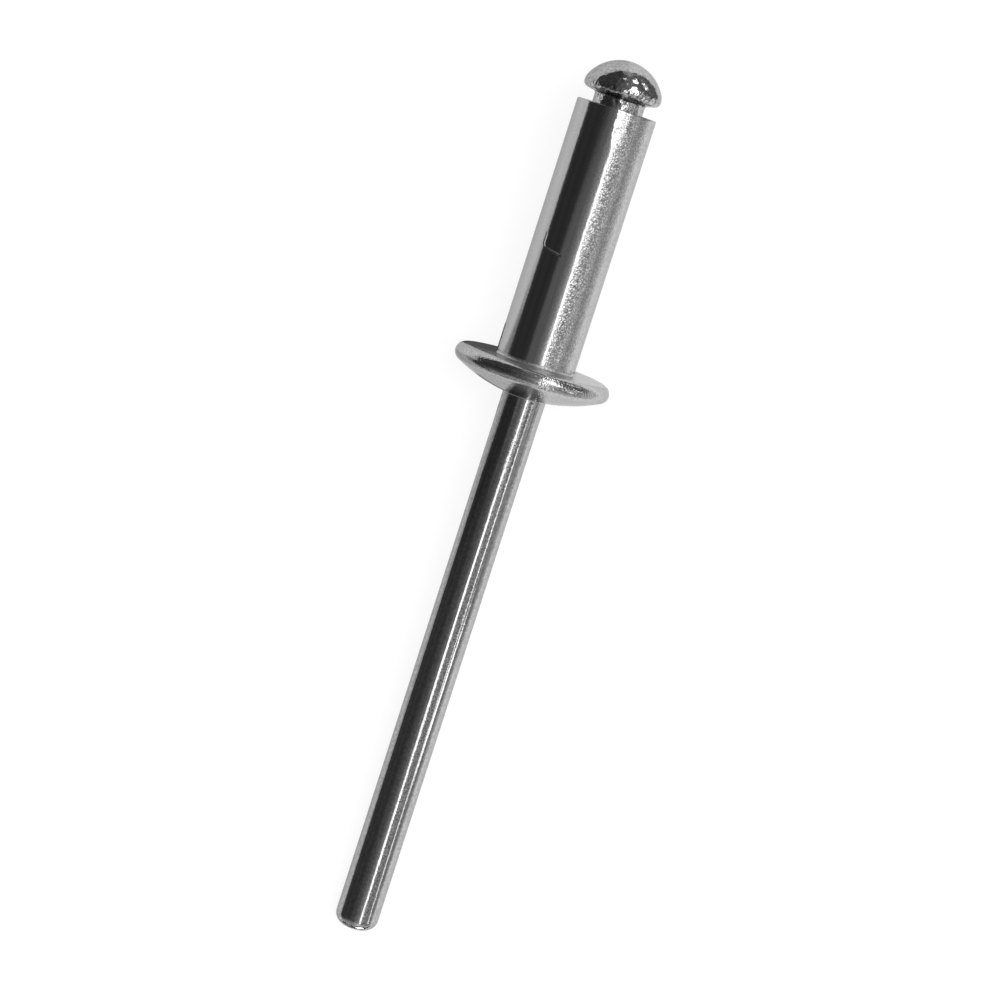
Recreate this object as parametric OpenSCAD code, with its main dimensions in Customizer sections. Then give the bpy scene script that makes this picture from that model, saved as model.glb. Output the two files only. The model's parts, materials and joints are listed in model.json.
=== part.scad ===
// Open-end blind rivet with a domed flange, before it is set.
// It lies on a flat surface: the flange's rim and the mandrel's tip touch it.
// Each piece is drawn upright about the Z axis, with the bearing face at z = 0
// and the mandrel's head up, and rest_pose() then lays it down.

/* [Sleeve] */
// Outer diameter of the sleeve
sleeve_d = 4.0; // [3.7:0.01:4.4]
// Length of the sleeve, from the bearing face to its open end
sleeve_len = 12.95; // [8:0.05:20]
// Radius on the outer edge of the sleeve's open end
sleeve_edge_r = 0.08; // [0.02:0.01:0.2]
// Fillet where the sleeve meets the bearing face
root_fillet_r = 0.1; // [0.04:0.01:0.4]

/* [Flange] */
// Diameter of the flange
flange_d = 7.9; // [6.9:0.05:9]
// Height of the flange, from the bearing face to the crown of its dome
flange_h = 1.77; // [1.4:0.01:2.2]
// Radius of the rim on the side of the bearing face
rim_top_r = 0.46; // [0.2:0.01:0.6]
// Radius of the rim on the side of the dome
rim_dome_r = 0.45; // [0.3:0.01:0.7]
// Chamfer where the mandrel comes out of the dome
mouth_chamfer = 0.08; // [0.03:0.01:0.15]

/* [Mandrel] */
// Diameter of the mandrel's shank
mandrel_d = 2.19; // [2.0:0.01:2.3]
// Length of the shank that stands out below the flange's crown
mandrel_tail = 28.1; // [20:0.1:40]
// Radius that rounds the end of the shank
tip_r = 0.62; // [0.3:0.01:0.9]
// Depth of the two pinch facets on the rounded end
facet_depth = 0.035; // [0.01:0.005:0.06]
// Angle between a pinch facet's normal and the shank's axis
facet_angle = 50; // [35:1:60]
// Turn of each pinch facet away from the top of the shank
facet_turn = 20; // [12:1:30]

/* [Mandrel head] */
// Diameter of the mandrel's head
head_d = 3.88; // [3.6:0.01:4.3]
// Height of the head above its widest level
head_h = 1.47; // [1.1:0.01:1.7]
// Radius of the head's shoulder, between the dome and the widest level
shoulder_r = 0.78; // [0.4:0.01:0.95]
// Radius of the head's lower edge
head_edge_r = 0.3; // [0.1:0.01:0.4]
// Slope of the head's underside, down towards the neck
underside_slope = 13; // [4:1:25]
// How far the neck under the head stands out from the shank, on each side
neck_step = 0.175; // [0.13:0.005:0.28]
// Length of the neck that shows between the sleeve and the head
neck_len = 0.5; // [0.3:0.01:0.9]
// Fillet between the neck and the head's underside
neck_fillet_r = 0.12; // [0.03:0.01:0.2]

/* [Inside the sleeve] */
// Radial clearance of the shank in the sleeve's bore
bore_clearance = 0.06; // [0.02:0.01:0.1]
// Length of the throat that is swaged onto the shank at the flange end
grip_len = 2.2; // [1:0.1:5]
// Depth of the shallow waist that the swaged throat leaves in the shank
grip_waist = 0.03; // [0.01:0.005:0.08]
// Half angle of the cone where the neck seats in the mouth of the bore
seat_angle = 45; // [30:1:60]
// Distance of the break groove from the sleeve's open end
groove_depth_in = 2.2; // [1.5:0.1:4]
// Diameter of the shank at the bottom of the break groove
groove_d = 1.62; // [1.3:0.01:1.8]
// Width of the flat at the bottom of the break groove
groove_flat = 0.12; // [0.05:0.01:0.3]

/* [Hidden] */

$fn = 96;
arc_steps = 14;
steel = [0.70, 0.70, 0.71];
bright_steel = [0.78, 0.78, 0.79];

sleeve_r = sleeve_d / 2;
flange_r = flange_d / 2;
shank_r = mandrel_d / 2;
bore_r = shank_r + bore_clearance;
neck_r = shank_r + neck_step;
head_r = head_d / 2;

// Radius of a dome that rises by h from the level of an edge's centre,
// where the dome is tangent to that edge, of radius e, on a disc of radius r
function dome_radius(r, h, e) = (h * h + r * r - 2 * r * e) / (2 * (h - e));

// Angle above the dome's centre at which the dome and its edge meet
function dome_join(r, h, e) = atan2(dome_radius(r, h, e) - h, r - e);

// Points of an arc about a centre, from one angle to another
function arc(centre, r, from, to) =
    [for (i = [0 : arc_steps]) let (a = from + (to - from) * i / arc_steps) centre + r * [cos(a), sin(a)]];

// Flange: the level of the rim's widest point, and its dome
rim_z = -rim_top_r;
crown_rise = flange_h - rim_top_r;
flange_dome_r = dome_radius(flange_r, crown_rise, rim_dome_r);
flange_join = dome_join(flange_r, crown_rise, rim_dome_r);
flange_dome_z = flange_dome_r - flange_h;
mouth_r = shank_r + mouth_chamfer;
mouth_angle = acos(mouth_r / flange_dome_r);
mouth_z = flange_dome_z - flange_dome_r * sin(mouth_angle);

// Bore: the swaged throat, and the cone at its mouth that the neck seats in
grip_low_z = mouth_z + mouth_chamfer;
grip_high_z = grip_low_z + grip_len;
seat_depth = (neck_r - bore_r) / tan(seat_angle);
seat_run = (neck_r - shank_r) / tan(seat_angle);

// Mandrel's head: its underside, widest level and dome
neck_top_z = sleeve_len + neck_len;
fillet_z = neck_top_z + neck_fillet_r * (tan(underside_slope) - 1 / cos(underside_slope));
edge_r_in = head_r - head_edge_r;
underside_run = edge_r_in + head_edge_r * sin(underside_slope) - neck_r;
head_z = neck_top_z + underside_run * tan(underside_slope) + head_edge_r * cos(underside_slope);
head_dome_r = dome_radius(head_r, head_h, shoulder_r);
head_join = dome_join(head_r, head_h, shoulder_r);
head_dome_z = head_z + head_h - head_dome_r;

// Mandrel's shank: its tip and break groove
tip_z = -(flange_h + mandrel_tail);
tip_arc_z = tip_z + tip_r;
tip_arc_x = shank_r - tip_r;
groove_z = sleeve_len - groove_depth_in;
groove_r = groove_d / 2;
groove_half = groove_flat / 2 + shank_r - groove_r;

// Rest pose: the tilt at which the rim and the tip touch one level surface,
// and the middle of the length that the rivet then covers
contact_run = rim_z - tip_arc_z;
contact_drop = (flange_r - rim_dome_r) - tip_arc_x;
rest_tilt = atan2(contact_drop, contact_run) + asin((rim_dome_r - tip_r) / norm([contact_run, contact_drop]));
rest_lift = (flange_r - rim_dome_r) * cos(rest_tilt) - rim_z * sin(rest_tilt) + rim_dome_r;
head_reach = head_dome_z * cos(rest_tilt) + head_dome_r;
tip_reach = tip_arc_x * sin(rest_tilt) - tip_arc_z * cos(rest_tilt) + tip_r;
rest_middle = (head_reach - tip_reach) / 2;

// Points of the throat's waist, which the sleeve and the shank share, from the flange inwards
grip_waist_points = [
    [shank_r, grip_low_z],
    [shank_r - grip_waist, (grip_low_z + grip_high_z) / 2],
    [shank_r, grip_high_z]
];

module rest_pose() {
    translate([-rest_middle, 0, rest_lift])
        rotate([0, 90 - rest_tilt, 0])
            children();
}

// Half section of the sleeve and flange, from the mouth of the bore round the outside
function body_outline() = concat(
    [[bore_r, sleeve_len - seat_depth], [neck_r, sleeve_len]],
    arc([sleeve_r - sleeve_edge_r, sleeve_len - sleeve_edge_r], sleeve_edge_r, 90, 0),
    arc([sleeve_r + root_fillet_r, root_fillet_r], root_fillet_r, 180, 270),
    arc([flange_r - rim_top_r, rim_z], rim_top_r, 90, 0),
    arc([flange_r - rim_dome_r, rim_z], rim_dome_r, 0, -flange_join),
    arc([0, flange_dome_z], flange_dome_r, -flange_join, -mouth_angle),
    grip_waist_points,
    [[bore_r, grip_high_z + bore_clearance]]
);

// Half section of the mandrel, from its tip to the crown of its head
function mandrel_outline() = concat(
    [[0, tip_z]],
    arc([tip_arc_x, tip_arc_z], tip_r, -90, 0),
    grip_waist_points,
    [[shank_r, groove_z - groove_half], [groove_r, groove_z - groove_flat / 2]],
    [[groove_r, groove_z + groove_flat / 2], [shank_r, groove_z + groove_half]],
    [[shank_r, sleeve_len - seat_run], [neck_r, sleeve_len]],
    arc([neck_r + neck_fillet_r, fillet_z], neck_fillet_r, 180, 90 + underside_slope),
    arc([edge_r_in, head_z], head_edge_r, underside_slope - 90, 0),
    arc([head_r - shoulder_r, head_z], shoulder_r, 0, head_join),
    arc([0, head_dome_z], head_dome_r, head_join, 90)
);

// Block that cuts one pinch facet from the rounded end
module facet_cut(turn) {
    block = mandrel_d;
    rotate([0, 0, turn])
        translate([-tip_arc_x, 0, tip_arc_z])
            rotate([0, facet_angle, 0])
                translate([-block / 2, -block / 2, facet_depth - tip_r - block])
                    cube(block);
}

module rivet_body() {
    color(steel)
        rest_pose()
            rotate_extrude()
                polygon(body_outline());
}

module mandrel() {
    color(bright_steel)
        rest_pose()
            difference() {
                rotate_extrude()
                    polygon(mandrel_outline());
                for (turn = [-facet_turn, facet_turn])
                    facet_cut(turn);
            }
}

rivet_body();
mandrel();
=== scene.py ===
"""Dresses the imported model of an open-end blind rivet and sets it on a pale table.

The rivet's own frame has its origin where the rivet's axis crosses the flange's bearing
face, +Z along the axis towards the mandrel's head, and -X on the side that faces up.
Outlines are drawn there as (distance from the axis, level along it) and spun about Z,
and to_rest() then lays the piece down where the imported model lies.
"""

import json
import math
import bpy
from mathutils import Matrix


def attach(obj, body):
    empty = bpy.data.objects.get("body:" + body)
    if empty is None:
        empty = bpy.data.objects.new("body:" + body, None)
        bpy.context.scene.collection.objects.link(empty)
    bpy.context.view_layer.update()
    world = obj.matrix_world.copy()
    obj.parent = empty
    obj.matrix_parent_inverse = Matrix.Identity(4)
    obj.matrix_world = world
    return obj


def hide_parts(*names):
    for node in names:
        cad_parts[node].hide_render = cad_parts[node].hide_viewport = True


bl_info = {
    "name": "Blind Rivet",
    "version": (1, 0, 0),
    "blender": (4, 5, 0),
    "location": "View3D > Sidebar > Rivet",
    "description": "Makes a dome-head blind rivet, its steel and a small studio",
    "category": "Object",
}

import bmesh
import bpy
from bpy.props import FloatProperty, FloatVectorProperty, PointerProperty
from bpy.types import Operator, Panel, PropertyGroup
from mathutils import Matrix, Vector

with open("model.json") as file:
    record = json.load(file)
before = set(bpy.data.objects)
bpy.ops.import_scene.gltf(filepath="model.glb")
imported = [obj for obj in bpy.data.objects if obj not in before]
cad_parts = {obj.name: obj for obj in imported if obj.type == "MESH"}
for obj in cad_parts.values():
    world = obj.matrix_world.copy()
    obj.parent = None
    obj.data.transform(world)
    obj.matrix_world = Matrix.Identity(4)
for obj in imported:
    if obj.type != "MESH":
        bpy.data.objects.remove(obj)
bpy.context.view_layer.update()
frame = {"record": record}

MM = 0.001
MOUNTS = {mount["name"]: mount for mount in frame["record"]["mounts"]}
AXIS = Vector(MOUNTS["sleeve"]["axis"])
SEAT = Vector(MOUNTS["bearing_face"]["pos_m"]) * Vector((1, 0, 1))
LEAN = math.atan2(AXIS.x, AXIS.z)
TO_REST = Matrix.Translation(SEAT) @ Matrix.Rotation(LEAN, 4, "Y")
SLEEVE_RADIUS = MOUNTS["sleeve"]["dims"]["r_mm"] * MM
SHANK_RADIUS = MOUNTS["mandrel_tail"]["dims"]["r_mm"] * MM


# Sizes and colours


class SleeveSizes(PropertyGroup):
    length: FloatProperty(
        name="Sleeve length",
        description="From the bearing face to the sleeve's open end",
        default=12.95 * MM,
        unit="LENGTH",
    )
    open_edge: FloatProperty(
        name="Open edge",
        description="Radius on the outer edge of the open end",
        default=0.08 * MM,
        unit="LENGTH",
    )
    root_fillet: FloatProperty(
        name="Root fillet",
        description="Radius where the sleeve meets the bearing face",
        default=0.1 * MM,
        unit="LENGTH",
    )
    flange_radius: FloatProperty(
        name="Flange radius",
        description="Half the flange's diameter",
        default=3.95 * MM,
        unit="LENGTH",
    )
    flange_height: FloatProperty(
        name="Flange height",
        description="From the bearing face to the crown of the dome",
        default=1.77 * MM,
        unit="LENGTH",
    )
    rim_top: FloatProperty(
        name="Rim radius, top",
        description="Radius of the rim on the side of the bearing face",
        default=0.46 * MM,
        unit="LENGTH",
    )
    rim_dome: FloatProperty(
        name="Rim radius, dome",
        description="Radius of the rim on the side of the dome",
        default=0.45 * MM,
        unit="LENGTH",
    )
    mouth_edge: FloatProperty(
        name="Mouth edge",
        description="Chamfer where the mandrel comes out of the dome",
        default=0.08 * MM,
        unit="LENGTH",
    )
    mouth_lip: FloatProperty(
        name="Mouth lip",
        description="Radius of the raised lip round the mandrel",
        default=0.036 * MM,
        unit="LENGTH",
    )
    bore_clearance: FloatProperty(
        name="Bore clearance",
        description="Gap between the bore and the shank, on each side",
        default=0.06 * MM,
        unit="LENGTH",
    )
    grip_length: FloatProperty(
        name="Grip length",
        description="Length of the throat that holds the shank",
        default=2.2 * MM,
        unit="LENGTH",
    )


class MandrelSizes(PropertyGroup):
    tail: FloatProperty(
        name="Tail length",
        description="Length of the shank below the flange's crown",
        default=28.1 * MM,
        unit="LENGTH",
    )
    tip_radius: FloatProperty(
        name="Tip radius",
        description="Radius that rounds the end of the shank",
        default=0.62 * MM,
        unit="LENGTH",
    )
    facet_depth: FloatProperty(
        name="Facet depth",
        description="Depth of the two pinch facets on the rounded end",
        default=0.035 * MM,
        unit="LENGTH",
    )
    facet_angle: FloatProperty(
        name="Facet angle",
        description="Angle between a facet's normal and the shank's axis",
        default=math.radians(50),
        subtype="ANGLE",
    )
    facet_turn: FloatProperty(
        name="Facet turn",
        description="Turn of each facet away from the top of the shank",
        default=math.radians(20),
        subtype="ANGLE",
    )
    head_radius: FloatProperty(
        name="Head radius",
        description="Half the head's diameter",
        default=1.94 * MM,
        unit="LENGTH",
    )
    head_height: FloatProperty(
        name="Head height",
        description="Height of the head above its widest level",
        default=1.47 * MM,
        unit="LENGTH",
    )
    shoulder: FloatProperty(
        name="Shoulder radius",
        description="Radius between the head's dome and its widest level",
        default=0.78 * MM,
        unit="LENGTH",
    )
    lower_edge: FloatProperty(
        name="Lower edge",
        description="Radius of the head's lower edge",
        default=0.3 * MM,
        unit="LENGTH",
    )
    underside: FloatProperty(
        name="Underside slope",
        description="Slope of the head's underside, down towards the neck",
        default=math.radians(13),
        subtype="ANGLE",
    )
    neck_radius: FloatProperty(
        name="Neck radius",
        description="Half the diameter of the neck under the head",
        default=1.27 * MM,
        unit="LENGTH",
    )
    neck_length: FloatProperty(
        name="Neck length",
        description="Length of neck between the sleeve and the head",
        default=0.5 * MM,
        unit="LENGTH",
    )
    neck_fillet: FloatProperty(
        name="Neck fillet",
        description="Radius between the neck and the head's underside",
        default=0.12 * MM,
        unit="LENGTH",
    )
    waist: FloatProperty(
        name="Waist depth",
        description="Depth of the waist under the throat's grip",
        default=0.03 * MM,
        unit="LENGTH",
    )
    groove_from_end: FloatProperty(
        name="Groove from end",
        description="From the sleeve's open end to the break groove",
        default=2.2 * MM,
        unit="LENGTH",
    )
    groove_radius: FloatProperty(
        name="Groove radius",
        description="Radius of the shank at the bottom of the break groove",
        default=0.81 * MM,
        unit="LENGTH",
    )
    groove_flat: FloatProperty(
        name="Groove flat",
        description="Width of the flat at the bottom of the groove",
        default=0.12 * MM,
        unit="LENGTH",
    )


class SteelFinish(PropertyGroup):
    sleeve_colour: FloatVectorProperty(
        name="Sleeve colour",
        description="Colour of the sleeve's steel",
        default=(0.52, 0.52, 0.524),
        subtype="COLOR",
        min=0,
        max=1,
    )
    mandrel_colour: FloatVectorProperty(
        name="Mandrel colour",
        description="Colour of the mandrel's steel",
        default=(0.47, 0.47, 0.474),
        subtype="COLOR",
        min=0,
        max=1,
    )
    grain_size: FloatProperty(
        name="Grain size",
        description="Width of a grain in the steel's surface",
        default=0.08 * MM,
        unit="LENGTH",
        precision=6,
    )
    grain_depth: FloatProperty(
        name="Grain depth",
        description="Height of the sleeve's grain where it is strongest",
        default=0.015 * MM,
        unit="LENGTH",
        precision=6,
    )
    dent_size: FloatProperty(
        name="Dent size",
        description="Width of a shallow dent",
        default=0.25 * MM,
        unit="LENGTH",
        precision=6,
    )
    dent_depth: FloatProperty(
        name="Dent depth",
        description="Depth of the shallow dents where they are deepest",
        default=0.008 * MM,
        unit="LENGTH",
        precision=6,
    )
    stroke_depth: FloatProperty(
        name="Stroke depth",
        description="Depth of the short strokes across the sleeve's axis",
        default=0.006 * MM,
        unit="LENGTH",
        precision=6,
    )
    mottle: FloatProperty(
        name="Mottle",
        description="How much the grain's pits are darker than its crests",
        default=1.9,
        subtype="FACTOR",
        min=0,
        max=5,
    )
    line_depth: FloatProperty(
        name="Drawn line depth",
        description="Depth of the lengthwise lines on the shank",
        default=0.0012 * MM,
        unit="LENGTH",
        precision=6,
    )


class StudioLook(PropertyGroup):
    lens: FloatProperty(
        name="Lens",
        description="Focal length in millimetres, on a 36 mm sensor",
        default=100.0,
    )
    distance: FloatProperty(
        name="Distance",
        description="From the camera to the flange, along the view",
        default=136.0 * MM,
        unit="LENGTH",
    )
    view_tilt: FloatProperty(
        name="View tilt",
        description="Angle between the view and a plumb line",
        default=math.radians(2.22),
        subtype="ANGLE",
    )
    view_roll: FloatProperty(
        name="View roll",
        description="Lean of the rivet to the right in the picture",
        default=math.radians(17.89),
        subtype="ANGLE",
    )
    aim: FloatVectorProperty(
        name="Aim",
        description="Where the flange stands off the picture's centre, right and up",
        size=2,
        default=(1.715 * MM, 6.684 * MM),
        unit="LENGTH",
    )
    floor_colour: FloatVectorProperty(
        name="Floor colour",
        description="Colour of the table",
        default=(0.88, 0.88, 0.88),
        subtype="COLOR",
        min=0,
        max=1,
    )


# Outlines and meshes

# How far from an arc a long straight wall gets an extra edge, which keeps its shading straight
HOLDING_GAP = 0.02 * MM
# Points nearer than this to each other become one
MERGE_GAP = 0.0005 * MM
# Points nearer than this to a cutting plane count as on it
CUT_GAP = 0.0001 * MM
# Sides of a piece once round its axis
ROUND_STEPS = 256
# An edge that turns by more than this stays sharp
SHARP_TURN = math.radians(32)
QUARTER_TURN = math.radians(90)


def pen(level, radius=0.0):
    """A new mesh with one point, from which an outline is drawn."""
    bm = bmesh.new()
    return bm, bm.verts.new((radius, 0, level))


def line_to(bm, point, radius, level):
    """Draws a straight line from the last point, and returns its end."""
    drawn = bmesh.ops.extrude_vert_indiv(bm, verts=[point])
    end = drawn["verts"][0]
    end.co = (radius, 0, level)
    return end


def arc_to(bm, point, centre, turn, steps):
    """Draws an arc about a centre from the last point. A positive turn goes from the radius towards +Z."""
    drawn = bmesh.ops.spin(
        bm,
        geom=[point],
        cent=(centre[0], 0, centre[1]),
        axis=(0, 1, 0),
        angle=-turn,
        steps=steps,
        use_merge=False,
    )
    return next(item for item in drawn["geom_last"] if isinstance(item, bmesh.types.BMVert))


def close_outline(bm, first, last):
    """Joins the last point of an outline to its first."""
    bm.edges.new((last, first))


def revolve(bm):
    """Spins the outline once round the rivet's axis."""
    bmesh.ops.spin(
        bm,
        geom=bm.verts[:] + bm.edges[:],
        cent=(0, 0, 0),
        axis=(0, 0, 1),
        angle=math.tau,
        steps=ROUND_STEPS,
        use_merge=True,
    )
    bmesh.ops.remove_doubles(bm, verts=bm.verts[:], dist=MERGE_GAP)


def dome_radius(radius, height, edge):
    """Radius of a dome that is tangent to an edge of that radius, round a disc."""
    return (height**2 + radius**2 - 2 * radius * edge) / (2 * (height - edge))


def dome_join(radius, height, edge):
    """Angle above the dome's centre at which the dome and its edge meet."""
    return math.atan2(dome_radius(radius, height, edge) - height, radius - edge)


def flange_dome(sizes):
    """The flange's dome: its radius, its centre's level, and its angles at the rim and at the mouth."""
    rise = sizes.flange_height - sizes.rim_top
    radius = dome_radius(sizes.flange_radius, rise, sizes.rim_dome)
    join = dome_join(sizes.flange_radius, rise, sizes.rim_dome)
    mouth = math.acos((SHANK_RADIUS + sizes.mouth_edge) / radius)
    return radius, radius - sizes.flange_height, join, mouth


def grip_levels(sizes):
    """Where the throat's grip on the shank begins and where it ends."""
    radius, centre_level, _, mouth = flange_dome(sizes)
    low = centre_level - radius * math.sin(mouth) + sizes.mouth_edge
    return low, low + sizes.grip_length


def to_rest(bm, name, material):
    """Lays a piece down in its rest pose and makes it an object."""
    bmesh.ops.recalc_face_normals(bm, faces=bm.faces[:])
    bmesh.ops.transform(bm, matrix=TO_REST, verts=bm.verts[:])
    for face in bm.faces:
        face.smooth = True
    for edge in bm.edges:
        edge.smooth = edge.calc_face_angle(0.0) < SHARP_TURN
    mesh = bpy.data.meshes.new(name)
    bm.to_mesh(mesh)
    bm.free()
    mesh.materials.append(material)
    piece = bpy.data.objects.new(name, mesh)
    bpy.context.scene.collection.objects.link(piece)
    return piece


# Shared effects


def new_group(name, inputs, outputs):
    """A shader node group with named sockets, and its two end nodes."""
    group = bpy.data.node_groups.new(name, "ShaderNodeTree")
    for label, kind, default in inputs:
        socket = group.interface.new_socket(name=label, in_out="INPUT", socket_type=kind)
        if default is not None:
            socket.default_value = default
    for label, kind in outputs:
        group.interface.new_socket(name=label, in_out="OUTPUT", socket_type=kind)
    start = group.nodes.new("NodeGroupInput")
    end = group.nodes.new("NodeGroupOutput")
    return group, start, end


def put(tree, kind, links=(), **settings):
    """Adds a node, sets its properties, and links or sets its inputs."""
    node = tree.nodes.new(kind)
    for name, value in settings.items():
        setattr(node, name, value)
    for socket, value in dict(links).items():
        if isinstance(value, bpy.types.NodeSocket):
            tree.links.new(value, node.inputs[socket])
        else:
            node.inputs[socket].default_value = value
    return node


def maths(tree, operation, *values):
    """A Math node's result."""
    node = put(tree, "ShaderNodeMath", dict(enumerate(values)), operation=operation)
    return node.outputs[0]


def stretched(tree, vector, across, along):
    """A pattern's coordinates, with its size across the rivet's axis and along it."""
    size = put(tree, "ShaderNodeCombineXYZ", {0: across, 1: across, 2: along})
    node = put(tree, "ShaderNodeVectorMath", {0: vector, 1: size.outputs[0]}, operation="DIVIDE")
    return node.outputs[0]


def centred(tree, value):
    """A noise's value, moved to lie about zero."""
    return maths(tree, "SUBTRACT", value, 0.5)


def ramp(tree, value, low, high):
    """0 below one value and 1 above the other, with a smooth rise between them."""
    node = put(
        tree,
        "ShaderNodeMapRange",
        {"Value": value, "From Min": low, "From Max": high},
        interpolation_type="SMOOTHSTEP",
    )
    return node.outputs["Result"]


def window(tree, value, low, high, soft):
    """1 between two values and 0 outside them."""
    return maths(tree, "MULTIPLY", ramp(tree, value, low - soft, low), ramp(tree, value, high + soft, high))


def grain():
    """Small round pimples or dents, as on rolled or plated steel."""
    group, start, end = new_group(
        "Grain",
        [
            ("Vector", "NodeSocketVector", None),
            ("Size", "NodeSocketFloat", 0.0001),
            ("Depth", "NodeSocketFloat", 0.00001),
        ],
        [("Height", "NodeSocketFloat")],
    )
    place = stretched(group, start.outputs["Vector"], start.outputs["Size"], start.outputs["Size"])
    noise = put(group, "ShaderNodeTexNoise", {"Vector": place, "Scale": 1.0, "Detail": 1.0, "Roughness": 0.5})
    level = centred(group, noise.outputs["Fac"])
    group.links.new(maths(group, "MULTIPLY", level, start.outputs["Depth"]), end.inputs["Height"])
    return group


def fine_lines():
    """Fine lines or strokes, longer one way than the other, as a die or a punch leaves them."""
    group, start, end = new_group(
        "Fine Lines",
        [
            ("Vector", "NodeSocketVector", None),
            ("Across", "NodeSocketFloat", 0.00004),
            ("Along", "NodeSocketFloat", 0.004),
            ("Depth", "NodeSocketFloat", 0.000001),
        ],
        [("Height", "NodeSocketFloat")],
    )
    place = stretched(group, start.outputs["Vector"], start.outputs["Across"], start.outputs["Along"])
    noise = put(group, "ShaderNodeTexNoise", {"Vector": place, "Scale": 1.0, "Detail": 2.0, "Roughness": 0.6})
    level = centred(group, noise.outputs["Fac"])
    group.links.new(maths(group, "MULTIPLY", level, start.outputs["Depth"]), end.inputs["Height"])
    return group


def rivet_place():
    """Where a point is: its level along the axis, and how far it lies to the right, in sleeve radii."""
    group, start, end = new_group(
        "Place on Rivet",
        [("Vector", "NodeSocketVector", None)],
        [("Level", "NodeSocketFloat"), ("Right", "NodeSocketFloat"), ("Turn", "NodeSocketFloat")],
    )
    parts = put(group, "ShaderNodeSeparateXYZ", {0: start.outputs["Vector"]})
    right = maths(group, "MULTIPLY", parts.outputs["Y"], -1.0)
    up = maths(group, "MULTIPLY", parts.outputs["X"], -1.0)
    group.links.new(parts.outputs["Z"], end.inputs["Level"])
    group.links.new(maths(group, "DIVIDE", right, SLEEVE_RADIUS), end.inputs["Right"])
    group.links.new(maths(group, "ARCTAN2", right, up), end.inputs["Turn"])
    return group


def patches(tree, place, size, low, high):
    """A slow change from one value to another over the surface."""
    spread = stretched(tree, place, size, size)
    noise = put(tree, "ShaderNodeTexNoise", {"Vector": spread, "Scale": 1.0, "Detail": 2.0})
    usual_low, usual_high = 0.35, 0.65
    swing = put(
        tree,
        "ShaderNodeMapRange",
        {
            "Value": noise.outputs["Fac"],
            "From Min": usual_low,
            "From Max": usual_high,
            "To Min": low,
            "To Max": high,
        },
    )
    return swing.outputs["Result"]


def use_group(tree, group, **values):
    """Places a shared effect in a material with its own values."""
    links = {label.replace("_", " "): value for label, value in values.items()}
    return put(tree, "ShaderNodeGroup", links, node_tree=group)


# Steel

# A turn goes from the side that faces up to the rivet's right, seen with the head ahead. Where a pair of
# values gives a ramp, the effect is 0 at the first and 1 at the second.
EDGE_TINT = 0.66
SLEEVE_ROUGHNESS = 0.13
MANDREL_ROUGHNESS = 0.09
STROKE_SIZE = (0.18 * MM, 0.06 * MM)
DRAWN_WIDTH = 0.05 * MM
SLEEVE_LINE_LENGTH = 3.0 * MM
SHANK_LINE_LENGTH = 6.0 * MM

# The patch that a tool has pressed flat next to the sleeve's open end
FLAT_TURN = math.radians(12)
FLAT_HALF = math.radians(9.5)
FLAT_LEAST = 0.88
FLAT_ROW_SIZE = (0.9 * MM, 0.22 * MM)
FLAT_ROW_RAMP = (0.36, 0.62)
FLAT_FROM_END = (2.5 * MM, 0.9 * MM)

# The hook-shaped mark of a tool's edge on the sleeve, and the small raised spot above it
HOOK_TURN = math.radians(-37.5)
HOOK_LEVEL = 5.83 * MM
HOOK_CORNER = 0.2 * MM
HOOK_WIDTH = 0.075 * MM
HOOK_DEPTH = -0.022 * MM
HOOK_SLANT = 0.18
HOOK_END_ACROSS = (0.95 * MM, 0.75 * MM)
HOOK_END_ALONG = (0.55 * MM, 0.15 * MM)
NUB_TURN = math.radians(-43)
NUB_LEVEL = 10.69 * MM
NUB_RADIUS = 0.13 * MM
NUB_HEIGHT = 0.04 * MM

# Grain on the sleeve and flange, placed by the distance to the right in sleeve radii
FLANGE_RAMP = (0.1 * MM, -0.1 * MM)
GRAIN_LEFT = 0.12
GRAIN_FLANGE = 0.4
GRAIN_RIGHT_RAMP = (0.17, 0.25)
GRAIN_NEAR_RAMP = (0.62, 0.40)
GRAIN_FAR = 0.65
GRAIN_PATCH_SIZE = 1.2 * MM
GRAIN_PATCH_RANGE = (0.75, 1.2)
SPECKLE_MIDDLE = 0.45
SPECKLE_MIDDLE_RAMP = (-0.25, 0.17)

# The line in the root between the sleeve and the flange: it has more grain, it is rougher, and it carries a
# painted highlight that brightens its colour
ROOT_BAND = (-0.02 * MM, 0.12 * MM)
ROOT_SOFT = 0.06 * MM
ROOT_LEFT_RAMP = (-0.98, -0.8)
ROOT_RIGHT_RAMP = (1.1, 0.9)
ROOT_GRAIN = 0.7
# How much the root's colour is brightened, as a painted highlight
ROOT_PAINTED_HIGHLIGHT = 0.1
ROOT_ROUGHER = 0.3

# Grain and dents on the mandrel's shank, tip, neck and head
HEAD_RAMP = 0.3 * MM
NECK_RAMP = (1.15 * MM, 0.85 * MM)
BEAD_LEFT_RAMP = (0.105, 0.13)
BEAD_RIGHT_RAMP = (0.26, 0.23)
BEAD_SPECKLE = 0.9
TIP_RAMP = (0.7 * MM, 0.4 * MM)
TIP_LEFT_RAMP = (0.04, -0.04)
SHANK_GRAIN = 0.05
BEAD_GRAIN = 0.10
HEAD_GRAIN = 0.15
NECK_GRAIN = 0.6
BLOTCH_SIZE = 0.16 * MM
BLOTCH_AMOUNT = 0.4
MANDREL_DENT_SIZE = 0.3 * MM
SHANK_DENTS = 0.002 * MM
HEAD_DENTS = 0.012 * MM
NECK_DENTS = 0.09 * MM


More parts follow.
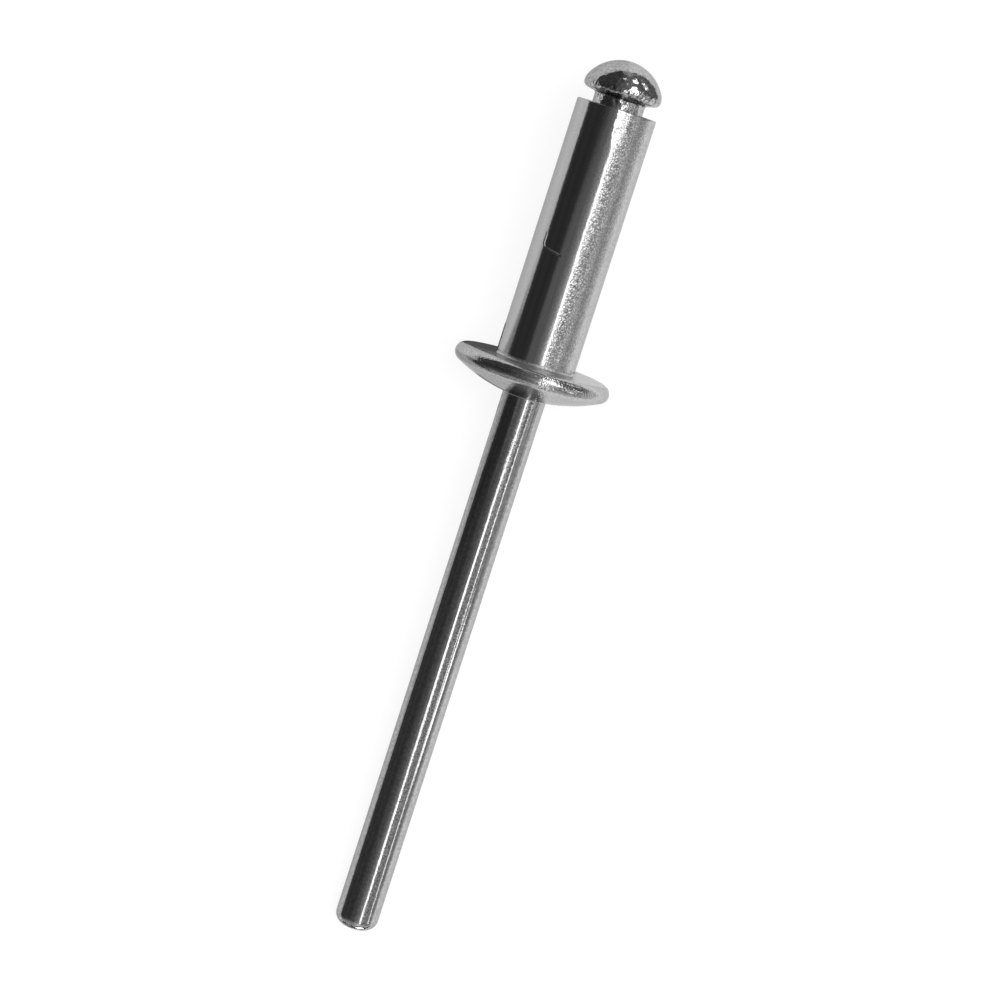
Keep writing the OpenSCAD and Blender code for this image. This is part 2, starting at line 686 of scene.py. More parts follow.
def steel(name, colour, roughness):
    """A bare steel material: its node tree, its shader and the place in the rivet's own frame."""
    material = bpy.data.materials.new(name)
    material.use_nodes = True
    tree = material.node_tree
    shader = tree.nodes["Principled BSDF"]
    shader.inputs["Base Color"].default_value = (*colour, 1)
    shader.inputs["Metallic"].default_value = 1.0
    shader.inputs["Specular Tint"].default_value = (EDGE_TINT, EDGE_TINT, EDGE_TINT, 1)
    shader.inputs["Roughness"].default_value = roughness
    spot = put(tree, "ShaderNodeTexCoord")
    place = put(
        tree,
        "ShaderNodeMapping",
        {"Vector": spot.outputs["Object"], "Location": SEAT, "Rotation": (0, LEAN, 0)},
        vector_type="TEXTURE",
    )
    return material, tree, shader, place.outputs["Vector"]


def relief(tree, shader, *heights):
    """Adds up heights in metres and gives them to the shader as a bump."""
    bump = put(tree, "ShaderNodeBump", {"Height": total(tree, *heights), "Strength": 1.0, "Distance": 1.0})
    tree.links.new(bump.outputs["Normal"], shader.inputs["Normal"])


def mottled(tree, shader, colour, pattern, contrast):
    """Darkens the steel where a pattern about zero is low, and brightens it where it is high."""
    change = maths(tree, "MULTIPLY_ADD", pattern, contrast, 1.0)
    tint = put(tree, "ShaderNodeVectorMath", {0: tuple(colour), 3: change}, operation="SCALE")
    tree.links.new(tint.outputs[0], shader.inputs["Base Color"])


def total(tree, *values):
    """The sum of several values."""
    result = values[0]
    for value in values[1:]:
        result = maths(tree, "ADD", result, value)
    return result


def scaled(tree, value, *factors):
    """The product of several values."""
    result = value
    for factor in factors:
        result = maths(tree, "MULTIPLY", result, factor)
    return result


def flattened_end(tree, place, level, turn, sizes):
    """Rows next to the open end that a tool has pressed flat, each to its own width."""
    rows = stretched(tree, place, *FLAT_ROW_SIZE)
    noise = put(tree, "ShaderNodeTexNoise", {"Vector": rows, "Scale": 1.0, "Detail": 2.0, "Roughness": 0.7})
    amount = ramp(tree, noise.outputs["Fac"], *FLAT_ROW_RAMP)
    near_end = ramp(tree, level, *[sizes.length - gap for gap in FLAT_FROM_END])
    width = maths(tree, "MULTIPLY_ADD", amount, 1.0 - FLAT_LEAST, FLAT_LEAST)
    half = scaled(tree, width, near_end, FLAT_HALF)
    off = maths(tree, "SUBTRACT", turn, FLAT_TURN)
    inside = maths(tree, "SUBTRACT", maths(tree, "POWER", half, 2.0), maths(tree, "MULTIPLY", off, off))
    return scaled(tree, maths(tree, "MAXIMUM", inside, 0.0), -SLEEVE_RADIUS / 2)


def hook_mark(tree, level, turn):
    """A shallow groove with one rounded corner, left by a tool's edge."""
    across = maths(tree, "MULTIPLY", maths(tree, "SUBTRACT", turn, HOOK_TURN), SLEEVE_RADIUS)
    along = maths(tree, "MULTIPLY_ADD", across, HOOK_SLANT, maths(tree, "SUBTRACT", level, HOOK_LEVEL))
    out_across = maths(tree, "MAXIMUM", maths(tree, "MULTIPLY", across, -1.0), 0.0)
    out_along = maths(tree, "MAXIMUM", maths(tree, "MULTIPLY", along, -1.0), 0.0)
    away = put(tree, "ShaderNodeCombineXYZ", {0: out_across, 1: out_along})
    length = put(tree, "ShaderNodeVectorMath", {0: away.outputs[0]}, operation="LENGTH")
    off_line = maths(tree, "ABSOLUTE", maths(tree, "SUBTRACT", length.outputs["Value"], HOOK_CORNER))
    groove = ramp(tree, off_line, HOOK_WIDTH, 0.0)
    reach = scaled(tree, ramp(tree, across, *HOOK_END_ACROSS), ramp(tree, along, *HOOK_END_ALONG))
    return scaled(tree, groove, reach, HOOK_DEPTH)


def nub(tree, level, turn):
    """One small raised spot on the sleeve's left side."""
    across = maths(tree, "MULTIPLY", maths(tree, "SUBTRACT", turn, NUB_TURN), SLEEVE_RADIUS)
    away = put(tree, "ShaderNodeCombineXYZ", {0: across, 1: maths(tree, "SUBTRACT", level, NUB_LEVEL)})
    length = put(tree, "ShaderNodeVectorMath", {0: away.outputs[0]}, operation="LENGTH")
    return scaled(tree, ramp(tree, length.outputs["Value"], NUB_RADIUS, 0.0), NUB_HEIGHT)


def shared(name, make):
    """A node group by name, made the first time that it is asked for."""
    return bpy.data.node_groups.get(name) or make()


def grain_height(tree, place, size, depth):
    """The height of the shared grain at its own size and depth."""
    node = use_group(tree, shared("Grain", grain), Vector=place, Size=size, Depth=depth)
    return node.outputs["Height"]


def line_height(tree, place, across, along, depth):
    """The height of the shared fine lines at their own size and depth."""
    group = shared("Fine Lines", fine_lines)
    node = use_group(tree, group, Vector=place, Across=across, Along=along, Depth=depth)
    return node.outputs["Height"]


def root_line(tree, level, right):
    """1 in the root between the sleeve and the flange, and 0 elsewhere."""
    band = window(tree, level, *ROOT_BAND, ROOT_SOFT)
    return scaled(tree, band, ramp(tree, right, *ROOT_LEFT_RAMP), ramp(tree, right, *ROOT_RIGHT_RAMP))


def sleeve_grain(tree, place, level, right, root):
    """How strong the sleeve's grain is. It is strongest on the side that faced the tools."""
    left = maths(tree, "MULTIPLY_ADD", ramp(tree, level, *FLANGE_RAMP), GRAIN_FLANGE, GRAIN_LEFT)
    near = maths(tree, "MULTIPLY_ADD", ramp(tree, right, *GRAIN_NEAR_RAMP), 1.0 - GRAIN_FAR, GRAIN_FAR)
    side = scaled(tree, ramp(tree, right, *GRAIN_RIGHT_RAMP), near)
    strength = total(tree, maths(tree, "MAXIMUM", side, left), scaled(tree, root, ROOT_GRAIN))
    return scaled(tree, strength, patches(tree, place, GRAIN_PATCH_SIZE, *GRAIN_PATCH_RANGE))


def sleeve_steel(finish, sizes):
    """Steel of the sleeve and flange, with its grain and the marks of its tools."""
    material, tree, shader, place = steel("Sleeve_Steel", finish.sleeve_colour, SLEEVE_ROUGHNESS)
    where = use_group(tree, shared("Place on Rivet", rivet_place), Vector=place).outputs
    level, right, turn = where["Level"], where["Right"], where["Turn"]
    root = root_line(tree, level, right)
    strength = sleeve_grain(tree, place, level, right, root)
    middle = scaled(tree, ramp(tree, right, *SPECKLE_MIDDLE_RAMP), SPECKLE_MIDDLE)
    speckle = maths(tree, "MAXIMUM", strength, middle)
    fine = grain_height(tree, place, finish.grain_size, 1.0)
    # The root's line adds a painted highlight to the steel's colour, on top of the grain's mottle
    pattern = total(tree, scaled(tree, fine, speckle), scaled(tree, root, ROOT_PAINTED_HIGHLIGHT))
    mottled(tree, shader, finish.sleeve_colour, pattern, finish.mottle)
    roughness = maths(tree, "MULTIPLY_ADD", root, ROOT_ROUGHER, SLEEVE_ROUGHNESS)
    tree.links.new(roughness, shader.inputs["Roughness"])
    relief(
        tree,
        shader,
        grain_height(tree, place, finish.dent_size, scaled(tree, strength, finish.dent_depth)),
        line_height(tree, place, *STROKE_SIZE, scaled(tree, strength, finish.stroke_depth)),
        line_height(tree, place, DRAWN_WIDTH, SLEEVE_LINE_LENGTH, finish.line_depth),
        scaled(tree, fine, strength, finish.grain_depth),
        flattened_end(tree, place, level, turn, sizes),
        hook_mark(tree, level, turn),
        nub(tree, level, turn),
    )
    return material


def mandrel_steel(finish, sleeve, tip_level):
    """Bright drawn steel of the mandrel, lined along the shank and dented on the head."""
    material, tree, shader, place = steel("Mandrel_Steel", finish.mandrel_colour, MANDREL_ROUGHNESS)
    where = use_group(tree, shared("Place on Rivet", rivet_place), Vector=place).outputs
    level, right = where["Level"], where["Right"]
    head = ramp(tree, level, sleeve.length, sleeve.length + HEAD_RAMP)
    neck = scaled(tree, head, ramp(tree, level, *[sleeve.length + above for above in NECK_RAMP]))
    shank = maths(tree, "SUBTRACT", 1.0, head)
    beaded = scaled(tree, shank, ramp(tree, right, *BEAD_LEFT_RAMP), ramp(tree, right, *BEAD_RIGHT_RAMP))
    near_tip = ramp(tree, level, *[tip_level + above for above in TIP_RAMP])
    tip = scaled(tree, near_tip, ramp(tree, right, *TIP_LEFT_RAMP))
    strength = total(
        tree,
        SHANK_GRAIN,
        scaled(tree, beaded, BEAD_GRAIN),
        scaled(tree, head, HEAD_GRAIN),
        scaled(tree, neck, NECK_GRAIN),
    )
    fine = grain_height(tree, place, finish.grain_size, strength)
    beads = grain_height(
        tree, place, finish.grain_size, total(tree, scaled(tree, beaded, BEAD_SPECKLE), tip)
    )
    blotches = grain_height(tree, place, BLOTCH_SIZE, BLOTCH_AMOUNT)
    mottled(tree, shader, finish.mandrel_colour, total(tree, fine, beads, blotches), finish.mottle)
    dents = total(tree, SHANK_DENTS, scaled(tree, head, HEAD_DENTS), scaled(tree, neck, NECK_DENTS))
    relief(
        tree,
        shader,
        line_height(tree, place, DRAWN_WIDTH, SHANK_LINE_LENGTH, scaled(tree, shank, finish.line_depth)),
        grain_height(tree, place, MANDREL_DENT_SIZE, dents),
        scaled(tree, fine, finish.grain_depth),
    )
    return material


# The two pieces


class RIVET_OT_sleeve(Operator):
    """Makes the sleeve with its domed flange, which are one piece"""

    bl_idname = "rivet.sleeve"
    bl_label = "Sleeve and Flange"

    def execute(self, context):
        sizes = context.scene.rivet_sleeve
        mandrel = context.scene.rivet_mandrel
        finish = context.scene.rivet_finish
        bore = SHANK_RADIUS + sizes.bore_clearance
        dome, dome_level, join, mouth = flange_dome(sizes)
        grip_low, grip_high = grip_levels(sizes)
        seat_depth = mandrel.neck_radius - bore
        edge = (SLEEVE_RADIUS - sizes.open_edge, sizes.length - sizes.open_edge)
        root = (SLEEVE_RADIUS + sizes.root_fillet, sizes.root_fillet)
        rim_top = (sizes.flange_radius - sizes.rim_top, -sizes.rim_top)
        rim_dome = (sizes.flange_radius - sizes.rim_dome, -sizes.rim_top)
        lip = (SHANK_RADIUS + sizes.mouth_lip, dome_level - dome * math.sin(mouth))

        bm, first = pen(sizes.length - seat_depth, bore)
        point = line_to(bm, first, mandrel.neck_radius, sizes.length)
        point = line_to(bm, point, edge[0], sizes.length)
        point = arc_to(bm, point, edge, -QUARTER_TURN, steps=8)
        point = line_to(bm, point, SLEEVE_RADIUS, edge[1] - HOLDING_GAP)
        point = line_to(bm, point, SLEEVE_RADIUS, root[1] + HOLDING_GAP)
        point = line_to(bm, point, SLEEVE_RADIUS, root[1])
        point = arc_to(bm, point, root, QUARTER_TURN, steps=8)
        point = line_to(bm, point, rim_top[0], 0)
        point = arc_to(bm, point, rim_top, -QUARTER_TURN, steps=16)
        point = arc_to(bm, point, rim_dome, -join, steps=12)
        point = arc_to(bm, point, (0, dome_level), join - mouth, steps=40)
        point = line_to(bm, point, SHANK_RADIUS + 2 * sizes.mouth_lip, lip[1])
        point = arc_to(bm, point, lip, -2 * QUARTER_TURN, steps=12)
        point = line_to(bm, point, SHANK_RADIUS, grip_low)
        point = line_to(bm, point, SHANK_RADIUS - mandrel.waist, (grip_low + grip_high) / 2)
        point = line_to(bm, point, SHANK_RADIUS, grip_high)
        point = line_to(bm, point, bore, grip_high + sizes.bore_clearance)
        close_outline(bm, first, point)
        revolve(bm)

        piece = to_rest(bm, "Sleeve", sleeve_steel(finish, sizes))
        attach(piece, "root")
        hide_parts("rivet_body")
        return {"FINISHED"}


class RIVET_OT_mandrel(Operator):
    """Makes the mandrel: its shank, pinched tip, neck and round head"""

    bl_idname = "rivet.mandrel"
    bl_label = "Mandrel"

    def execute(self, context):
        sizes = context.scene.rivet_mandrel
        sleeve = context.scene.rivet_sleeve
        finish = context.scene.rivet_finish
        tip_level = -(sleeve.flange_height + sizes.tail)
        tip_in = SHANK_RADIUS - sizes.tip_radius
        grip_low, grip_high = grip_levels(sleeve)
        groove = sleeve.length - sizes.groove_from_end
        groove_half = sizes.groove_flat / 2 + SHANK_RADIUS - sizes.groove_radius
        seat_run = sizes.neck_radius - SHANK_RADIUS
        slope = sizes.underside
        neck_top = sleeve.length + sizes.neck_length
        fillet_level = neck_top + sizes.neck_fillet * (math.tan(slope) - 1 / math.cos(slope))
        fillet = (sizes.neck_radius + sizes.neck_fillet, fillet_level)
        edge_in = sizes.head_radius - sizes.lower_edge
        under_edge = edge_in + sizes.lower_edge * math.sin(slope)
        edge_drop = sizes.lower_edge * math.cos(slope)
        head_level = neck_top + (under_edge - sizes.neck_radius) * math.tan(slope) + edge_drop
        crown = dome_radius(sizes.head_radius, sizes.head_height, sizes.shoulder)
        crown_level = head_level + sizes.head_height - crown
        join = dome_join(sizes.head_radius, sizes.head_height, sizes.shoulder)

        bm, point = pen(tip_level)
        point = line_to(bm, point, tip_in, tip_level)
        point = arc_to(bm, point, (tip_in, tip_level + sizes.tip_radius), QUARTER_TURN, steps=20)
        point = line_to(bm, point, SHANK_RADIUS, grip_low)
        point = line_to(bm, point, SHANK_RADIUS - sizes.waist, (grip_low + grip_high) / 2)
        point = line_to(bm, point, SHANK_RADIUS, grip_high)
        point = line_to(bm, point, SHANK_RADIUS, groove - groove_half)
        point = line_to(bm, point, sizes.groove_radius, groove - sizes.groove_flat / 2)
        point = line_to(bm, point, sizes.groove_radius, groove + sizes.groove_flat / 2)
        point = line_to(bm, point, SHANK_RADIUS, groove + groove_half)
        point = line_to(bm, point, SHANK_RADIUS, sleeve.length - seat_run)
        point = line_to(bm, point, sizes.neck_radius, sleeve.length)
        point = line_to(bm, point, sizes.neck_radius, fillet_level)
        point = arc_to(bm, point, fillet, slope - QUARTER_TURN, steps=8)
        point = line_to(bm, point, under_edge, head_level - edge_drop)
        point = arc_to(bm, point, (edge_in, head_level), QUARTER_TURN - slope, steps=14)
        point = arc_to(bm, point, (sizes.head_radius - sizes.shoulder, head_level), join, steps=24)
        arc_to(bm, point, (0, crown_level), QUARTER_TURN - join, steps=32)
        revolve(bm)
        for turn in (-sizes.facet_turn, sizes.facet_turn):
            cut_facet(bm, sizes, tip_level, turn)

        piece = to_rest(bm, "Mandrel", mandrel_steel(finish, sleeve, tip_level))
        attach(piece, "root")
        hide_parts("mandrel")
        return {"FINISHED"}


def cut_facet(bm, sizes, tip_level, turn):
    """Cuts one pinch facet from the rounded end and closes it with a flat face."""
    tip_in = SHANK_RADIUS - sizes.tip_radius
    to_side = Matrix.Rotation(turn, 3, "Z")
    centre = to_side @ Vector((-tip_in, 0, tip_level + sizes.tip_radius))
    out = to_side @ Vector((-math.sin(sizes.facet_angle), 0, -math.cos(sizes.facet_angle)))
    cut = bmesh.ops.bisect_plane(
        bm,
        geom=bm.verts[:] + bm.edges[:] + bm.faces[:],
        dist=CUT_GAP,
        plane_co=centre + out * (sizes.tip_radius - sizes.facet_depth),
        plane_no=out,
        clear_outer=True,
    )
    rim = [item for item in cut["geom_cut"] if isinstance(item, bmesh.types.BMEdge)]
    bmesh.ops.contextual_create(bm, geom=rim)


# Studio

# The cards form a tunnel round the rivet. A card brighter than LAMP_LEVEL hangs a little further in, in
# front of the others. CARD_STEP is the widest turn of one of its flat strips, in degrees.
CARD_RADIUS = 0.40
CARD_STEP = 4.0
LAMP_LEVEL = 0.9
LAMP_INSET = 0.97
# Dark cards on the left, in rows: name, level of the odd and of the even ones, and reach in degrees
FLAG_TURNS = [-90, -76, -64, -52, -40, -28]
FLAGS = [
    ("Flag_Foot", 0.36, 0.36, (-80, -45)),
    ("Flag_Low", 0.14, 0.14, (-45, -30)),
    ("Flag_Tail", 0.062, 0.052, (-30, -10.4)),
    ("Flag_Sleeve", 0.040, 0.033, (-10.4, 12)),
    ("Flag_Head", 0.058, 0.066, (12, 80)),
]
# Other cards: name, level, reach along the rivet, and turns from the zenith to the rivet's right, first
# where the reach begins, on the tip's side, and then where it ends. All angles are in degrees.
CARDS = [
    ("Left_Edge", 0.91, (-3.2, 8), (-90, -86.5), (-90, -86.5)),
    ("Foot_Left", 0.38, (-80, -45), (-28, 0), (-28, 0)),
    ("Foot_Middle", 0.55, (-80, -45), (0, 14), (0, 14)),
    ("Foot_Right", 0.60, (-80, -45), (14, 89), (14, 89)),
    ("Foot_Strip", 1.2, (-72, -45), (20, 44), (26, 38)),
    ("Tail_Left", 0.10, (-45, -10.4), (-28, -12), (-28, -12)),
    ("Tail_Middle", 0.14, (-45, -10.4), (-12, 0), (-12, 0)),
    ("Tail_Right", 0.24, (-45, -10.4), (0, 12), (0, 12)),
    ("Tail_Near", 0.36, (-45, -10.4), (12, 50), (12, 50)),
    ("Tail_Far", 0.31, (-45, -10.4), (50, 89), (50, 89)),
    ("Tail_Strip_Low", 1.6, (-45, -27), (26, 38), (23.5, 33.5)),
    ("Tail_Strip", 2.8, (-27, -15.5), (24, 33), (12.5, 21.5)),
    ("Tail_Strip_High", 2.8, (-15.5, -10.4), (12.5, 21.5), (12.5, 21.5)),
    ("Tail_Thin_Strip", 2.4, (-26, -13.5), (77, 81), (53, 57)),
    ("Tail_Thin_Strip_High", 2.4, (-13.5, -6.8), (53, 57), (53, 57)),
    ("Sleeve_Dark", 0.036, (-4.2, -2.2), (-28, -28), (-28, -13)),
    ("Sleeve_Left_Edge", 0.14, (-10.4, -4.2), (-28, -22.5), (-28, -22.5)),
    ("Sleeve_Left", 0.16, (-10.4, -4.2), (-22.5, -15), (-22.5, -12)),
    ("Sleeve_Left_End", 0.13, (-4.2, -2.2), (-28, -12), (-13, -11)),
    ("Sleeve_Centre", 0.14, (-10.4, -2.2), (-15, -3), (-11, -3)),
    ("Sleeve_Middle", 0.20, (-10.4, -2.2), (-3, 6), (-3, 6)),
    ("Sleeve_Right", 0.30, (-10.4, -2.2), (6, 18.5), (6, 18.5)),
    ("Middle_Dark", 0.06, (-2.2, 12), (-28, -14), (-28, -14)),
    ("Middle_Left", 0.16, (-2.2, 12), (-14, 0), (-14, 0)),
    ("Middle_Right", 0.38, (-2.2, 12), (0, 18.5), (0, 18.5)),
    ("Middle_Glow", 2.6, (6, 15), (28, 50), (28, 50)),
    ("Strip_Back", 0.50, (-10.4, 12), (18.5, 34), (18.5, 34)),
    ("Right_Back", 0.58, (-10.4, 12), (34, 40), (34, 40)),
    ("Right_Back_Dark", 0.27, (-10.4, 12), (40, 56), (40, 56)),
    ("Right_Back_Mid", 0.40, (-10.4, 12), (56, 70), (56, 70)),
    ("Right_Back_Far", 0.38, (-10.4, 12), (70, 89), (70, 89)),
    ("Main_Strip", 3.4, (-10.4, 16), (18.5, 24.5), (18.5, 24.5)),
    ("Strip_Fade", 1.05, (-10.4, 16), (24.5, 34), (24.5, 34)),
    ("Thin_Strip", 1.6, (-5.9, 2), (61, 64.5), (61, 64.5)),
    ("Right_Line", 1.1, (-6.8, 12), (72, 74), (72, 74)),
    ("Head_Left", 0.10, (12, 80), (-28, -12), (-28, -12)),
    ("Head_Middle", 0.15, (12, 80), (-12, 0), (-12, 0)),
    ("Head_Right", 0.20, (12, 80), (0, 18), (0, 18)),
    ("Head_Near", 0.20, (12, 80), (18, 60), (18, 60)),
    ("Head_Far", 0.13, (12, 80), (60, 89), (60, 89)),
    ("Window", 3.4, (16, 46), (17.5, 40), (27, 40)),
    ("Oval_Lamp", 6.0, (59, 67), (36, 54), (36, 54)),
    ("Small_Lamp_A", 3.0, (64, 67), (-12, -5), (-12, -5)),
    ("Small_Lamp_B", 3.0, (48.5, 51.5), (10, 15), (10, 15)),
    ("Side_Lamp_A", 4.0, (51, 57), (80, 88), (80, 88)),
    ("Side_Lamp_B", 4.0, (44, 48), (83, 88), (83, 88)),
    ("Side_Lamp_C", 4.0, (11, 16), (71, 76), (71, 76)),
    ("Side_Lamp_D", 4.0, (-18, -13), (66, 71), (66, 71)),
    ("Side_Lamp_E", 3.0, (26, 30), (62, 66), (62, 66)),
]
# Cards on the table: name, level, and reach along X and to the rivet's left, in millimetres. The dark ones
# are painted shade that only the steel mirrors, standing for the rivet's shadow and for darker parts of the
# table; the brightest ones are lamps.
TABLE_CARDS = [
    ("Table_Left", 0.84, (-400, 400), (0.3, 400)),
    ("Table_Left_Tail", 0.55, (-400, -1), (9, 22)),
    ("Table_Left_Tail_Far", 0.06, (-400, -1), (22, 400)),
    ("Table_Left_Flange", 0.60, (-1, 6.8), (6, 16)),
    ("Table_Left_Flange_Far", 0.36, (-1, 6.8), (16, 400)),
    ("Table_Left_Sleeve_Far", 0.78, (6.8, 400), (26, 400)),
    ("Table_Shade", 0.12, (7.2, 8.8), (0.3, 4.3)),
    ("Table_Shade_Tail", 0.24, (4.4, 7.2), (0.3, 2.9)),
    ("Table_Right", 0.68, (-400, 400), (-52, -17)),
    ("Table_Right_Far", 0.50, (-400, 400), (-400, -52)),
    ("Table_Right_Head", 0.16, (24, 400), (-400, -9)),
    ("Table_Tip", 0.09, (-60, -25.5), (-9, 4.2)),
    ("Table_Tip_Patch", 0.9, (-28.6, -27.0), (1.2, 2.4)),
    ("Table_Tip_Lamp", 8.0, (-28.8, -26.9), (-2.6, -1.2)),
]
TABLE_CARD_GAP = 0.004 * MM
# Walls that close the tunnel's ends: name, level and side along X
END_WALLS = [("Head_Wall", 0.42, 1), ("Tip_Wall", 0.60, -1)]
END_REACH = math.radians(79)

# The table as all but the camera see it, and how much it glows for the camera and in reflections
TABLE_HALF = 3.0
TABLE_UNSEEN = (0.16, 0.16, 0.16)
TABLE_CAMERA_GLOW = 0.68
TABLE_DIRECT_GLOW = 0.20
SKY_LIGHT = 0.25
SKY_DIRECT = 0.75
LAMP_PLACE = (0.05, -0.2, 0.8)
LAMP_SIZE = 0.5
LAMP_POWER = 5.6
SENSOR_WIDTH = 36.0
NEAREST_SEEN = 0.005


def glowing(name, level):
    """A card's material, which only glows."""
    material = bpy.data.materials.new(name)
    material.use_nodes = True
    tree = material.node_tree
    tree.nodes.clear()
    glow = put(tree, "ShaderNodeEmission", {"Color": (1, 1, 1, 1), "Strength": level})
    out = put(tree, "ShaderNodeOutputMaterial")
    tree.links.new(glow.outputs[0], out.inputs["Surface"])
    return material


def glossy_only(bm, name, level):
    """Makes a card that only the steel sees, as light or shade that it mirrors."""
    mesh = bpy.data.meshes.new(name)
    bm.to_mesh(mesh)
    bm.free()
    mesh.materials.append(glowing(name, level))
    made = bpy.data.objects.new(name, mesh)
    bpy.context.scene.collection.objects.link(made)
    made.visible_camera = False
    made.visible_diffuse = False
    made.visible_shadow = False


def tunnel_card(name, level, reach, first_turns, last_turns):
    """A strip of the tunnel, whose edges may run obliquely along it."""
    widest = max(first_turns[1] - first_turns[0], last_turns[1] - last_turns[0])
    radius = CARD_RADIUS * (LAMP_INSET if level > LAMP_LEVEL else 1.0)
    starts = [CARD_RADIUS * math.tan(math.radians(angle)) for angle in reach]
    bm = bmesh.new()
    bmesh.ops.create_grid(bm, x_segments=1, y_segments=math.ceil(widest / CARD_STEP), size=0.5)
    for vert in bm.verts:
        along = vert.co.x + 0.5
        across = vert.co.y + 0.5
        first = first_turns[0] + (first_turns[1] - first_turns[0]) * across
        last = last_turns[0] + (last_turns[1] - last_turns[0]) * across
        turn = math.radians(first + (last - first) * along)
        level_x = starts[0] + (starts[1] - starts[0]) * along
        vert.co = (level_x, -radius * math.sin(turn), radius * math.cos(turn))
    glossy_only(bm, name, level)


def table_card(name, level, lift, along, across):
    """A rectangle just above the table."""
    bm = bmesh.new()
    corners = [(x * MM, y * MM, lift) for x, y in ((along[0], across[0]), (along[1], across[0]))]
    corners += [(x * MM, y * MM, lift) for x, y in ((along[1], across[1]), (along[0], across[1]))]
    bm.faces.new([bm.verts.new(corner) for corner in corners])
    glossy_only(bm, name, level)


def end_wall(name, level, side):
    """Closes one end of the tunnel above the table."""
    far = side * CARD_RADIUS * math.tan(END_REACH)
    bm = bmesh.new()
    corners = [(far, y * CARD_RADIUS, z * CARD_RADIUS) for y, z in ((-1, 0), (1, 0), (1, 1), (-1, 1))]
    bm.faces.new([bm.verts.new(corner) for corner in corners])
    glossy_only(bm, name, level)


def seen_directly(tree):
    """1 for camera, glossy and transmission rays, and 0 for the others."""
    path = put(tree, "ShaderNodeLightPath")
    some = maths(tree, "MAXIMUM", path.outputs["Is Camera Ray"], path.outputs["Is Glossy Ray"])
    return maths(tree, "MAXIMUM", some, path.outputs["Is Transmission Ray"])


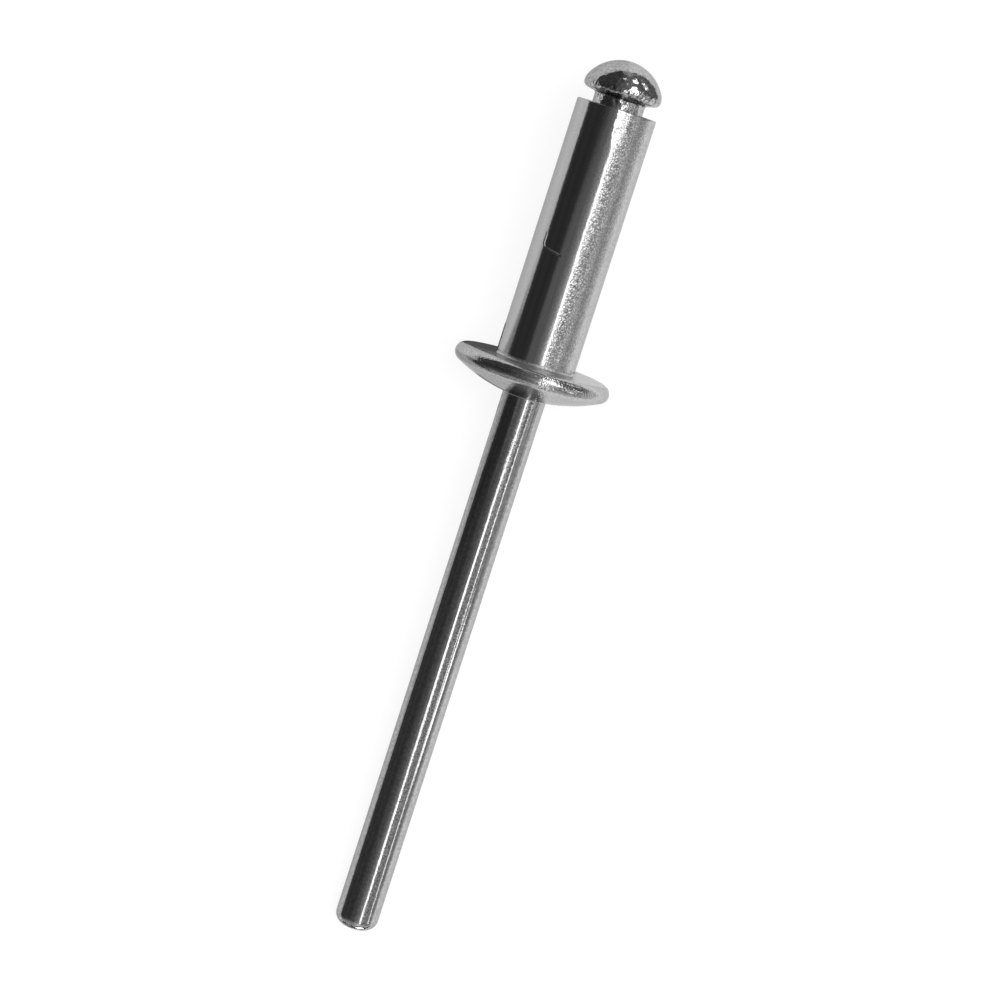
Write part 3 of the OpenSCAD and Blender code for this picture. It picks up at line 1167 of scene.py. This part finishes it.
class RIVET_OT_studio(Operator):
    """Sets up the table, the cards, the lamps and the camera"""

    bl_idname = "rivet.studio"
    bl_label = "Studio"

    def execute(self, context):
        look = context.scene.rivet_studio
        self.table(look)
        self.cards()
        self.lamps()
        self.sky(context)
        self.camera(context, look)
        context.scene.view_settings.view_transform = "Standard"
        return {"FINISHED"}

    def table(self, look):
        bm = bmesh.new()
        bmesh.ops.create_grid(bm, x_segments=1, y_segments=1, size=TABLE_HALF)
        mesh = bpy.data.meshes.new("Table")
        bm.to_mesh(mesh)
        bm.free()
        material = bpy.data.materials.new("Table")
        material.use_nodes = True
        tree = material.node_tree
        shader = tree.nodes["Principled BSDF"]
        seen = put(tree, "ShaderNodeLightPath").outputs["Is Camera Ray"]
        shade = put(
            tree,
            "ShaderNodeMix",
            {0: seen, 6: (*look.floor_colour, 1), 7: (*TABLE_UNSEEN, 1)},
            data_type="RGBA",
        )
        tree.links.new(shade.outputs[2], shader.inputs["Base Color"])
        shader.inputs["Roughness"].default_value = 0.9
        shader.inputs["Specular IOR Level"].default_value = 0.0
        shader.inputs["Emission Color"].default_value = (1, 1, 1, 1)
        direct = maths(tree, "MULTIPLY", seen_directly(tree), TABLE_DIRECT_GLOW)
        glow = maths(tree, "MULTIPLY_ADD", seen, TABLE_CAMERA_GLOW, direct)
        tree.links.new(glow, shader.inputs["Emission Strength"])
        mesh.materials.append(material)
        table = bpy.data.objects.new("Table", mesh)
        bpy.context.scene.collection.objects.link(table)

    def cards(self):
        for name, odd, even, reach in FLAGS:
            for index, turns in enumerate(zip(FLAG_TURNS, FLAG_TURNS[1:])):
                tunnel_card(f"{name}_{index + 1}", even if index % 2 else odd, reach, turns, turns)
        for card in CARDS:
            tunnel_card(*card)
        for index, (name, level, along, across) in enumerate(TABLE_CARDS):
            table_card(name, level, (index + 1) * TABLE_CARD_GAP, along, across)
        for wall in END_WALLS:
            end_wall(*wall)

    def lamps(self):
        light = bpy.data.lights.new("Soft_Top", "AREA")
        light.shape = "SQUARE"
        light.size = LAMP_SIZE
        light.energy = LAMP_POWER
        lamp = bpy.data.objects.new("Soft_Top", light)
        lamp.location = LAMP_PLACE
        lamp.rotation_euler = Vector(lamp.location).to_track_quat("Z", "Y").to_euler()
        lamp.visible_glossy = False
        bpy.context.scene.collection.objects.link(lamp)

    def sky(self, context):
        world = bpy.data.worlds.new("Studio")
        context.scene.world = world
        world.use_nodes = True
        tree = world.node_tree
        tree.nodes.clear()
        strength = maths(tree, "MULTIPLY_ADD", seen_directly(tree), SKY_DIRECT, SKY_LIGHT)
        sky = put(tree, "ShaderNodeBackground", {"Color": (1, 1, 1, 1), "Strength": strength})
        out = put(tree, "ShaderNodeOutputWorld")
        tree.links.new(sky.outputs[0], out.inputs["Surface"])

    def camera(self, context, look):
        tilt = look.view_tilt
        ahead = Vector((-math.sin(tilt), 0, -math.cos(tilt)))
        level_up = Vector((math.cos(tilt), 0, -math.sin(tilt)))
        level_right = Vector((0, -1, 0))
        up = math.cos(look.view_roll) * level_up - math.sin(look.view_roll) * level_right
        right = math.sin(look.view_roll) * level_up + math.cos(look.view_roll) * level_right
        place = SEAT - look.aim[0] * right - look.aim[1] * up - look.distance * ahead
        data = bpy.data.cameras.new("Camera")
        data.lens = look.lens
        data.sensor_width = SENSOR_WIDTH
        data.clip_start = NEAREST_SEEN
        camera = bpy.data.objects.new("Camera", data)
        turn = Matrix((right, up, -ahead)).transposed()
        camera.matrix_world = Matrix.Translation(place) @ turn.to_4x4()
        context.scene.collection.objects.link(camera)
        context.scene.camera = camera


# Registration


class RIVET_PT_panel(Panel):
    """Lists the rivet's sizes and the operators that make it"""

    bl_label = "Blind Rivet"
    bl_idname = "RIVET_PT_panel"
    bl_space_type = "VIEW_3D"
    bl_region_type = "UI"
    bl_category = "Rivet"

    def draw(self, context):
        for operator in OPERATORS:
            self.layout.operator(operator.bl_idname)
        for name, group in SETTINGS.items():
            box = self.layout.box()
            for size in group.__annotations__:
                box.prop(getattr(context.scene, name), size)


OPERATORS = [RIVET_OT_studio, RIVET_OT_sleeve, RIVET_OT_mandrel]
SETTINGS = {
    "rivet_sleeve": SleeveSizes,
    "rivet_mandrel": MandrelSizes,
    "rivet_finish": SteelFinish,
    "rivet_studio": StudioLook,
}


def register():
    for group in SETTINGS.values():
        bpy.utils.register_class(group)
    for operator in OPERATORS:
        bpy.utils.register_class(operator)
    bpy.utils.register_class(RIVET_PT_panel)
    for name, group in SETTINGS.items():
        setattr(bpy.types.Scene, name, PointerProperty(type=group))


def unregister():
    for name in SETTINGS:
        delattr(bpy.types.Scene, name)
    bpy.utils.unregister_class(RIVET_PT_panel)
    for operator in reversed(OPERATORS):
        bpy.utils.unregister_class(operator)
    for group in reversed(SETTINGS.values()):
        bpy.utils.unregister_class(group)


def main():
    register()
    bpy.ops.rivet.studio()
    bpy.ops.rivet.sleeve()
    bpy.ops.rivet.mandrel()


if __name__ == "__main__":
    main()
